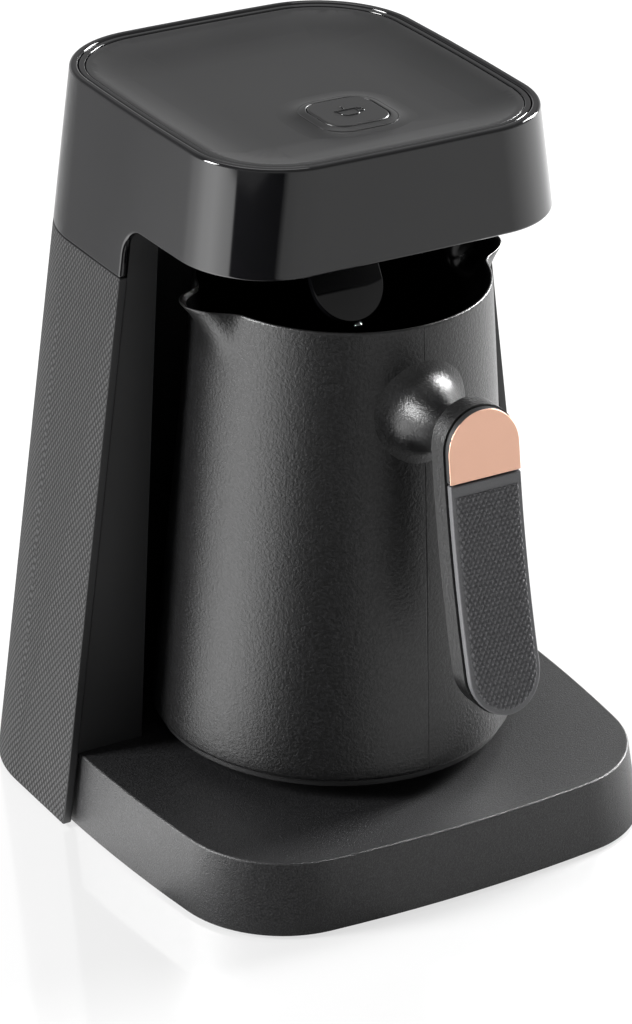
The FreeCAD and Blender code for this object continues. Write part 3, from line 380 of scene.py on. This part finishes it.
def weaveMap(obj, size):
    rows, whole = roundTheWall(size)
    start = rows[0][0]
    turns = [((angle - start) % 360, length) for angle, length in rows[:-1]] + [(360.0, whole)]
    layer = obj.data.uv_layers.get("weave") or obj.data.uv_layers.new(name="weave")
    for polygon in obj.data.polygons:
        found = []
        for index in polygon.vertices:
            x, y, z = obj.data.vertices[index].co / mm
            angle = (math.degrees(math.atan2(y - size["middle"], x)) - start) % 360
            k = next(i for i in range(1, len(turns)) if turns[i][0] >= angle)
            low, high = turns[k - 1], turns[k]
            share = (angle - low[0]) / max(high[0] - low[0], 1e-9)
            found.append((low[1] + (high[1] - low[1]) * share, z))
        if max(f[0] for f in found) - min(f[0] for f in found) > whole / 2:  # across the seam
            found = [(f[0] + whole if f[0] < whole / 2 else f[0], f[1]) for f in found]
        for loop, place in zip(polygon.loop_indices, found):
            layer.data[loop].uv = place


weaveMap(sleeve, sleeveSize)
sleeve.data.materials.append(plainCharcoal)
for polygon in sleeve.data.polygons:
    x, y, z = polygon.center / mm
    outwards = polygon.normal.x * x + polygon.normal.y * (y - sleeveSize["middle"])
    levelCut = abs(polygon.normal.z) > sleeveSize["levelCut"]
    frontCut = polygon.normal.y < sleeveSize["frontCut"] and y < sleeveSize["frontEdge"]
    if levelCut or frontCut or outwards < 0:
        polygon.material_index = 1  # plain cut edges and inside
print("sleeve made")


# Jug

jug = {  # millimetres and degrees
    "axisY": 3.3, "foot": 31.0, "footRadius": 56.25, "rim": 173.6, "rimRadius": 44.75, "wall": 2.6,
    "spoutReach": 10.6, "spoutLow": 153.0, "spoutLift": 0.9, "reachCurve": 2.3, "liftCurve": 4,
    "spoutAngle": 12.0, "spoutSides": 3.6, "spoutShare": 0.85, "beakAngle": 5, "beakShare": 0.15,
    "ledge": 36.0, "ledgeUnder": 33.5, "ledgeRadius": 43.0,
    "groove": 0.12, "grooveAngle": 0.5, "turns": 288, "smooth": 40,
    "glossTop": 172.6, "glossRadius": 60,
}
handle = {"top": (-73.4, 160.7), "middle": (-81.4, 117.0), "bottom": (-95.27, 70.2), "thickness": 8.5}  # y and z


def jugRadius(level):
    share = (level - jug["foot"]) / (jug["rim"] - jug["foot"])
    return jug["footRadius"] + (jug["rimRadius"] - jug["footRadius"]) * share


def beak(angle):
    # how far the lip reaches out at an angle round the rim, 1 at the two beaks
    away = (angle + 90) % 180 - 90
    flanks = jug["spoutShare"] * math.exp(-(abs(away) / jug["spoutAngle"]) ** jug["spoutSides"])
    return flanks + jug["beakShare"] * math.exp(-(away / jug["beakAngle"]) ** 2)


def ringMesh(name, rings, closed=False):
    # a surface through rings of points, each ring with as many points
    shape = bmesh.new()
    loops = [[shape.verts.new(Vector(point) * mm) for point in ring] for ring in rings]
    count = len(rings[0])
    pairs = list(zip(loops, loops[1:] + loops[:1])) if closed else list(zip(loops, loops[1:]))
    for low, high in pairs:
        for index in range(count):
            after = (index + 1) % count
            shape.faces.new((low[index], low[after], high[after], high[index]))
    if not closed:
        shape.faces.new(list(reversed(loops[0])))
        shape.faces.new(loops[-1])
    bmesh.ops.recalc_face_normals(shape, faces=shape.faces)
    mesh = bpy.data.meshes.new(name)
    shape.to_mesh(mesh)
    shape.free()
    return mesh


def makeJug():
    wall = jug["wall"]
    angles = [360 * i / jug["turns"] for i in range(jug["turns"])]
    wide, narrow = jug["grooveAngle"], 0.16
    for middle in (90, 270):  # the mould's parting line
        angles = [a for a in angles if abs(a - middle) > 0.7]
        angles += [middle + d for d in (-wide, -narrow, 0, narrow, wide)]
    angles.sort()
    levels = [32.4, 36, 50, 70, 90, 110, 125, 135, 142] + [150 + 1.5 * i for i in range(15)] + [172.4, 173.0]
    # rows of distance out from the wall, level, and whether the spouts shape it: foot, wall, lip, inside
    profile = [(-1.3, 31.0, 0), (-0.6, 31.1, 0), (-0.15, 31.6, 0)] + [(0, level, 1) for level in levels]
    profile += [(-0.06, 173.4, 1), (-0.22, 173.65, 1), (-0.5, 173.75, 1), (-0.8, 173.65, 1), (-1.0, 173.4, 1),
                (-1.1, 172.9, 1), (-1.2, 172.2, 1)]
    profile += [(-max(1.2, wall - (level - 150) * 0.07) if level > 150 else -wall, level, 1)
                for level in reversed(levels[:-2])]
    outerCount = 3 + len(levels)
    rings = []
    for index, (inward, level, shaped) in enumerate(profile):
        ring = []
        for angle in angles:
            lift = beak(angle)
            rise = max(0.0, (level - jug["spoutLow"]) / (jug["rim"] - jug["spoutLow"])) * shaped
            reach = jug["spoutReach"] * rise ** jug["reachCurve"] * lift
            groove = -jug["groove"] if index < outerCount and min(abs(angle - 90), abs(angle - 270)) < 0.1 else 0
            radius = jugRadius(level) + inward + reach + groove
            height = level + jug["spoutLift"] * lift * rise ** jug["liftCurve"]
            radians = math.radians(angle)
            ring.append((radius * math.cos(radians), jug["axisY"] + radius * math.sin(radians), height))
        rings.append(ring)
    under, foot = jug["ledgeUnder"], jug["foot"]
    for radius, level in ((jug["ledgeRadius"], jug["ledge"]), (jug["ledgeRadius"], under),
                          (jugRadius(under) - wall, under), (jugRadius(foot) - wall, foot)):
        rings.append([(radius * math.cos(math.radians(a)), jug["axisY"] + radius * math.sin(math.radians(a)), level)
                      for a in angles])
    mesh = ringMesh("jugBody", rings, closed=True)
    obj = newPiece("jugBody", mesh, "jug", "jug_plastic", sandedJug, "jug_shell")
    mesh.materials.append(glossJugInside)
    for polygon in mesh.polygons:
        centre = polygon.center / mm
        radius = math.hypot(centre.x, centre.y - jug["axisY"])
        inwards = polygon.normal.x * centre.x + polygon.normal.y * (centre.y - jug["axisY"]) < 0
        if inwards and jug["ledge"] < centre.z < jug["glossTop"] and radius < jug["glossRadius"]:
            polygon.material_index = 1
    activate(obj)
    bpy.ops.object.shade_smooth_by_angle(angle=math.radians(jug["smooth"]))


def handleCircle():
    # the middle and radius of the arc through the handle's three points
    (y0, z0), (y1, z1), (y2, z2) = handle["top"], handle["middle"], handle["bottom"]
    d = 2 * (y0 * (z1 - z2) + y1 * (z2 - z0) + y2 * (z0 - z1))
    a, b, c = y0 * y0 + z0 * z0, y1 * y1 + z1 * z1, y2 * y2 + z2 * z2
    y = (a * (z1 - z2) + b * (z2 - z0) + c * (z0 - z1)) / d
    z = (a * (y2 - y1) + b * (y0 - y2) + c * (y1 - y0)) / d
    return y, z, math.hypot(y0 - y, z0 - z)


circleY, circleZ, circleRadius = handleCircle()


def handleFace(level, offset):
    return circleY + math.sqrt((circleRadius + offset) ** 2 - (level - circleZ) ** 2)


neck = {
    "level": 147.0, "steps": 96, "narrowing": 0.02, "smooth": 50,
    "profile": [(1, -0.03), (5, -0.03), (9, -0.03), (13, -0.03), (17.0, -0.012), (15.4, 0.006), (13.8, 0.024),
                (12.4, 0.055), (11.2, 0.1), (10.2, 0.165), (9.4, 0.25), (8.8, 0.36), (8.5, 0.47), (8.45, 0.57),
                (8.7, 0.67), (9.2, 0.76), (9.9, 0.84), (10.7, 0.91), (11.4, 0.96), (11.8, 1.01), (11.2, 1.05)],
}  # profile: radius in millimetres, and share of the way from the wall to the handle


def makeNeck():
    # a saddle that flares out of the jug's wall and again into the handle
    rings = []
    for radius, share in neck["profile"]:
        ring = []
        for step in range(neck["steps"]):
            angle = 2 * math.pi * step / neck["steps"]
            x = radius * math.cos(angle) * (1 if share < 0.5 else 1 - neck["narrowing"] * (share - 0.5))
            z = neck["level"] + radius * math.sin(angle)
            wallY = jug["axisY"] - math.sqrt(max(jugRadius(z) ** 2 - x * x, 0))
            ring.append((x, wallY + (handleFace(z, handle["thickness"]) - wallY) * share, z))
        rings.append(ring)
    mesh = ringMesh("handleNeck", rings)
    obj = newPiece("handleNeck", mesh, "jug", "jug_plastic", sandedJug)
    subdivide = obj.modifiers.new("smooth", "SUBSURF")
    subdivide.levels = subdivide.render_levels = 1
    applyModifiers(obj)
    bpy.ops.object.shade_smooth_by_angle(angle=math.radians(neck["smooth"]))


makeJug()
makeNeck()
print("jug made")


# Knurling on the grip: small diamonds, as a closed plate sunk into the pad

knurl = {  # millimetres and degrees
    "pitch": 1.7, "lean": 33.0, "height": 0.55, "top": 136.2, "bottom": 72.2, "halfWidth": 11.0, "step": 0.25,
    "steep": 1.6,  # above 1 the diamonds have flat tops
    "fade": 0.6, "sink": 0.02, "depth": 0.5,
}


def makeKnurling():
    step = knurl["step"]
    across = int(2 * knurl["halfWidth"] / step)
    up = int((knurl["top"] - knurl["bottom"]) / step)
    shape = bmesh.new()
    grid = []
    slope = math.tan(math.radians(knurl["lean"]))
    for j in range(up + 1):
        z = knurl["bottom"] + step * j
        row = []
        for i in range(across + 1):
            x = -knurl["halfWidth"] + step * i
            roundEnd = knurl["bottom"] + knurl["halfWidth"]
            inside = z >= roundEnd or math.hypot(x, z - roundEnd) <= knurl["halfWidth"]
            if not inside:
                row.append(None)
                continue
            ridges = [abs(((x + side * slope * z) / knurl["pitch"]) % 1.0 * 2 - 1) for side in (-1, 1)]
            edge = knurl["halfWidth"] - (math.hypot(x, z - roundEnd) if z < roundEnd else abs(x))
            height = knurl["height"] * (1 - max(ridges)) * knurl["steep"]
            height *= min(1.0, max(0.0, edge / knurl["fade"]))
            row.append((x, handleFace(z, 0) - min(height, knurl["height"]) + knurl["sink"], z))
        grid.append(row)
    front = [[shape.verts.new(Vector(p) * mm) if p else None for p in row] for row in grid]
    back = [[shape.verts.new(Vector((p[0], handleFace(p[2], 0) + knurl["depth"], p[2])) * mm) if p else None
             for p in row] for row in grid]
    edges = {}  # the plate's outline: edges that only one square has
    for j in range(up):
        for i in range(across):
            corners = [(j, i), (j, i + 1), (j + 1, i + 1), (j + 1, i)]
            if any(grid[a][b] is None for a, b in corners):
                continue
            shape.faces.new([front[a][b] for a, b in corners])
            for k in range(4):
                pair = (corners[k], corners[(k + 1) % 4])
                if (pair[1], pair[0]) in edges:
                    del edges[(pair[1], pair[0])]
                else:
                    edges[pair] = True
            shape.faces.new([back[a][b] for a, b in reversed(corners)])
    for first, second in edges:
        shape.faces.new([front[first[0]][first[1]], back[first[0]][first[1]], back[second[0]][second[1]],
                         front[second[0]][second[1]]])
    loose = [v for v in shape.verts if not v.link_faces]
    bmesh.ops.delete(shape, geom=loose, context="VERTS")
    bmesh.ops.recalc_face_normals(shape, faces=shape.faces)
    mesh = bpy.data.meshes.new("gripKnurling")
    shape.to_mesh(mesh)
    shape.free()
    newPiece("gripKnurling", mesh, "jug", "grip", knurledGrip)


makeKnurling()
print("knurling made")


# Raised mound round the button, and the little cup on it

button = {"x": 2.1, "y": 6.1, "halfWidth": 10.65, "halfDepth": 10.15, "corner": 6.0, "top": 223.7, "steps": 12}
mound = [  # distance out from the button, and height
    (0.35, 221.6), (0.35, 223.3), (0.42, 223.44), (0.6, 223.5), (0.95, 223.46), (1.5, 223.32), (2.3, 223.06),
    (3.3, 222.74), (4.6, 222.4), (6.2, 222.15), (8.0, 222.03), (9.6, 221.98), (9.7, 221.6),
]


def roundedLoop(extra, level):
    # a ring as the button's outline, wider by extra
    points = []
    steps = button["steps"]
    corner = button["corner"] + extra
    across, along = button["halfWidth"] + extra - corner, button["halfDepth"] + extra - corner
    for turn, (sx, sy) in enumerate([(1, 1), (-1, 1), (-1, -1), (1, -1)]):
        for step in range(steps + 1):
            angle = math.radians(90 * turn + 90 * step / steps)
            points.append((button["x"] + sx * across + corner * math.cos(angle),
                           button["y"] + sy * along + corner * math.sin(angle), level))
    return points


def makeMound():
    rings = [roundedLoop(extra, level) for extra, level in mound]
    mesh = ringMesh("buttonMound", rings, closed=True)
    obj = newPiece("buttonMound", mesh, "machine", "tray_matte", satinBlackTray)
    activate(obj)
    bpy.ops.object.shade_smooth_by_angle(angle=math.radians(50))


cupSign = {"lineRadius": 0.24, "grow": 1.3}  # millimetres, times
cupLines = [  # lines of the little cup, as x and y on the cap in millimetres
    [(-2.5, 0.8), (-2.5, -1.0), (-1.6, -2.3), (0.0, -2.5), (1.6, -2.3), (2.3, -1.0), (2.3, 0.8)],
    [(-3.1, 0.8), (-1.0, 0.8), (1.0, 0.8), (2.9, 0.8)],
    [(2.3, 0.3), (3.8, 0.5), (4.0, -0.6), (3.2, -1.3), (2.0, -1.2)],
    [(-0.4, 1.7), (0.3, 2.3), (-0.6, 2.9), (0.1, 3.6)],
]


def makeCupSign():
    curve = bpy.data.curves.new("cupSign", "CURVE")
    curve.dimensions = "3D"
    curve.bevel_depth = cupSign["lineRadius"] * mm
    curve.bevel_resolution = 3
    curve.use_fill_caps = True
    for line in cupLines:
        spline = curve.splines.new("NURBS")
        spline.points.add(len(line) - 1)
        for point, (x, y) in zip(spline.points, line):
            point.co = ((button["x"] + cupSign["grow"] * x) * mm, (button["y"] + cupSign["grow"] * y) * mm,
                        button["top"] * mm, 1)
        spline.order_u = 3
        spline.use_endpoint_u = True
    drawn = bpy.data.objects.new("cupSignCurve", curve)
    scene.collection.objects.link(drawn)
    bpy.context.view_layer.update()
    mesh = bpy.data.meshes.new_from_object(drawn.evaluated_get(bpy.context.evaluated_depsgraph_get()))
    bpy.data.objects.remove(drawn)
    mesh.name = "cupSign"
    obj = newPiece("cupSign", mesh, "button", "rim_gloss", glossBlackAbs)
    activate(obj)
    bpy.ops.object.shade_smooth_by_angle(angle=math.radians(50))


sensor = {
    "y": 12.1, "z": 188.0, "lean": 32.7, "length": 32.3, "halfWidth": 12.0, "hub": 2.7,
    "edge": [(0.45, 1.1), (0.2, 1.04), (0.05, 0.9), (0, 0.7)],  # distance in from the outline, and from the middle
    "hubEnds": [(-13.5, 0.5), (-13.4, 0.15), (-13.1, 0), (9.5, 0), (9.7, 0.15), (9.8, 0.5)],  # x, distance in
    "tip": [(0.9, -1.5), (0.9, -0.05), (1.45, 0), (1.55, 0.15), (1.45, 0.35), (1.05, 0.5), (1.3, 0.7), (1.42, 1.0),
            (1.35, 1.35), (1.05, 1.62), (0.55, 1.78)],  # radius, and distance past the blade's end
}


def leantBack(points):
    # from a blade that hangs straight down at the hinge to its place, leant forwards
    lean = math.radians(sensor["lean"])
    return [(x, sensor["y"] + y * math.cos(lean) + z * math.sin(lean),
             sensor["z"] - y * math.sin(lean) + z * math.cos(lean)) for x, y, z in points]


def makePaddle():
    half, straight = sensor["halfWidth"], sensor["length"] - sensor["halfWidth"]
    rings = []
    for inward, y in [(i, -d) for i, d in sensor["edge"]] + list(reversed(sensor["edge"])):
        radius = half - inward
        loop = [(radius, y, 0.0)]
        loop += [(radius * math.cos(a), y, -straight - radius * math.sin(a))
                 for a in (math.pi * i / 40 for i in range(41))]
        loop += [(-radius, y, 0.0)]
        rings.append(leantBack(loop))
    mesh = ringMesh("sensorPaddle", rings)
    obj = newPiece("sensorPaddle", mesh, "paddle", "gloss_black", glossBlackAbs, "sensor_paddle")
    activate(obj)
    bpy.ops.object.shade_smooth_by_angle(angle=math.radians(30))
    hub = []
    for x, inward in sensor["hubEnds"]:
        radius = sensor["hub"] - inward
        hub.append(leantBack([(x, radius * math.cos(a), radius * math.sin(a))
                              for a in (2 * math.pi * i / 48 for i in range(48))]))
    obj = newPiece("paddleHub", ringMesh("paddleHub", hub), "paddle", "gloss_black", glossBlackAbs)
    activate(obj)
    bpy.ops.object.shade_smooth_by_angle(angle=math.radians(30))


def makeSteelTip():
    # a turned stud under the blade's end: a thin collar, a waist and a round nose
    rings = [leantBack([(radius * math.cos(a), radius * math.sin(a), -sensor["length"] - past)
                        for a in (2 * math.pi * i / 40 for i in range(40))]) for radius, past in sensor["tip"]]
    obj = newPiece("steelTip", ringMesh("steelTip", rings), "paddle", "steel", turnedSteel, "sensor_tip")
    activate(obj)
    bpy.ops.object.shade_smooth_by_angle(angle=math.radians(40))


makePaddle()
makeSteelTip()
print("sensor made")
makeMound()
makeCupSign()
print("button surround made")


# Stage and light

worldLight = {
    "camera": 1.0, "diffuse": 0.26,
    "glossy": [(0.0, 1.0), (0.12, 0.8), (0.3, 0.4), (0.5, 0.32), (1.0, 0.4)],  # height and brightness
}


def setStops(ramp, stops):
    # grey stops on a colour ramp, as position and brightness
    for index, (position, value) in enumerate(stops):
        stop = ramp.elements[index] if index < 2 else ramp.elements.new(position)
        stop.position = position
        stop.color = (value, value, value, 1)


def makeWorld():
    world = bpy.data.worlds.new("studio")
    scene.world = world
    world.use_nodes = True
    tree = world.node_tree
    tree.nodes.clear()
    path = addNode(tree, "ShaderNodeLightPath")
    place = addNode(tree, "ShaderNodeTexCoord")
    axes = addNode(tree, "ShaderNodeSeparateXYZ", None, {0: place.outputs["Generated"]})
    ramp = addNode(tree, "ShaderNodeValToRGB", None, {0: axes.outputs["Z"]})
    setStops(ramp.color_ramp, worldLight["glossy"])
    white = addNode(tree, "ShaderNodeBackground", {"Color": (1, 1, 1, 1), "Strength": worldLight["camera"]})
    soft = addNode(tree, "ShaderNodeBackground", {"Color": (1, 1, 1, 1), "Strength": worldLight["diffuse"]})
    room = addNode(tree, "ShaderNodeBackground", {"Strength": 1.0}, {"Color": ramp.outputs["Color"]})
    inside = addNode(tree, "ShaderNodeMixShader", None,
                     {0: path.outputs["Is Glossy Ray"], 1: soft.outputs[0], 2: room.outputs[0]})
    mix = addNode(tree, "ShaderNodeMixShader", None,
                  {0: path.outputs["Is Camera Ray"], 1: inside.outputs[0], 2: white.outputs[0]})
    addNode(tree, "ShaderNodeOutputWorld", None, {"Surface": mix.outputs[0]})


# Bright and dark directions on the floor that only gloss sees: degrees round the maker, and brightness, where 1 is
# white. They are set for the first camera's view, so other views show these bands in other places.
floorGlow = [(-180, 4.4), (-172, 3.8), (-162, 3.2), (-160, 0.03), (-111, 0.03), (-104, 0.9), (-90, 1.05),
             (-52, 1.05), (-37, 1.4), (-11, 1.9), (24, 1.8), (60, 0.8), (125, 0.7), (137, 1.3), (150, 2.4),
             (162, 4.0), (174, 4.7), (180, 4.4)]
floorRing = {"near": 0.14, "far": 2.3, "soft": 0.1, "elsewhere": 0.4}  # metres from the middle
floorFinish = {
    "size": 14, "white": (0.9, 0.9, 0.9, 1), "peak": 5.0,  # peak: the most that floorGlow may hold
    "plainGlow": 1.5, "plainShare": 0.75,  # what the camera sees of it, so that it stays white
    "mirror": 0.4, "mirrorRoughness": 0.08,
}


def makeFloor():
    bpy.ops.object.select_all(action="DESELECT")
    bpy.ops.mesh.primitive_plane_add(size=floorFinish["size"], location=(0, 0, 0))
    floor = bpy.context.object
    floor.name = "floor"
    material = bpy.data.materials.new("whiteFloor")
    material.use_nodes = True
    tree = material.node_tree
    tree.nodes.clear()
    place = addNode(tree, "ShaderNodeTexCoord")
    axes = addNode(tree, "ShaderNodeSeparateXYZ", None, {0: place.outputs["Object"]})
    turn = addNode(tree, "ShaderNodeMath", {"operation": "ARCTAN2"}, {0: axes.outputs["Y"], 1: axes.outputs["X"]})
    share = addNode(tree, "ShaderNodeMapRange", {"From Min": -math.pi, "From Max": math.pi},
                    {"Value": turn.outputs[0]})
    ramp = addNode(tree, "ShaderNodeValToRGB", None, {0: share.outputs["Result"]})
    setStops(ramp.color_ramp, [((angle + 180) / 360, value / floorFinish["peak"]) for angle, value in floorGlow])
    away = addNode(tree, "ShaderNodeVectorMath", {"operation": "LENGTH"}, {0: place.outputs["Object"]})
    rise = addNode(tree, "ShaderNodeMapRange", {"From Min": floorRing["near"] - floorRing["soft"],
                                                "From Max": floorRing["near"]}, {"Value": away.outputs["Value"]})
    fall = addNode(tree, "ShaderNodeMapRange", {"From Min": floorRing["far"] + floorRing["soft"],
                                                "From Max": floorRing["far"]}, {"Value": away.outputs["Value"]})
    ring = addNode(tree, "ShaderNodeMath", {"operation": "MULTIPLY"},
                   {0: rise.outputs["Result"], 1: fall.outputs["Result"]})
    glow = addNode(tree, "ShaderNodeEmission", {"Strength": floorFinish["peak"]}, {"Color": ramp.outputs["Color"]})
    plain = addNode(tree, "ShaderNodeEmission", {"Color": (1, 1, 1, 1), "Strength": floorRing["elsewhere"]})
    seen = addNode(tree, "ShaderNodeMixShader", None, {0: ring.outputs[0], 1: plain.outputs[0], 2: glow.outputs[0]})
    lit = addNode(tree, "ShaderNodeBsdfDiffuse", {"Color": floorFinish["white"]})
    bright = addNode(tree, "ShaderNodeEmission", {"Color": (1, 1, 1, 1), "Strength": floorFinish["plainGlow"]})
    sheen = addNode(tree, "ShaderNodeBsdfGlossy",
                    {"Color": (1, 1, 1, 1), "Roughness": floorFinish["mirrorRoughness"]})
    base = addNode(tree, "ShaderNodeMixShader", {0: floorFinish["plainShare"]},
                   {1: lit.outputs[0], 2: bright.outputs[0]})
    mirror = addNode(tree, "ShaderNodeMixShader", {0: floorFinish["mirror"]},
                     {1: base.outputs[0], 2: sheen.outputs[0]})
    path = addNode(tree, "ShaderNodeLightPath")
    soft = addNode(tree, "ShaderNodeMixShader", None,
                   {0: path.outputs["Is Camera Ray"], 1: lit.outputs[0], 2: mirror.outputs[0]})
    both = addNode(tree, "ShaderNodeMixShader", None,
                   {0: path.outputs["Is Glossy Ray"], 1: soft.outputs[0], 2: seen.outputs[0]})
    addNode(tree, "ShaderNodeOutputMaterial", None, {"Surface": both.outputs[0]})
    floor.data.materials.append(material)


lamps = {  # place, aim, width and height in metres, power in watts
    "softLeft": ((-1.14, 0.36, 0.62), (0, 0, 0.1), (0.3, 0.6), 34),
    "softRight": ((1.1, 0.16, 0.62), (0, 0, 0.1), (0.3, 0.6), 44),
    "softTop": ((0.1, 0.5, 1.6), (0, 0, 0.2), (1.0, 0.8), 6),
}


def softLight(name, place, aim, size, power):
    data = bpy.data.lights.new(name, "AREA")
    data.shape = "RECTANGLE"
    data.size, data.size_y = size
    data.energy = power
    obj = bpy.data.objects.new(name, data)
    scene.collection.objects.link(obj)
    obj.location = place
    obj.rotation_euler = (Vector(aim) - Vector(place)).to_track_quat("-Z", "Y").to_euler()


makeWorld()
makeFloor()
for name, values in lamps.items():
    softLight(name, *values)
print("stage and light set")
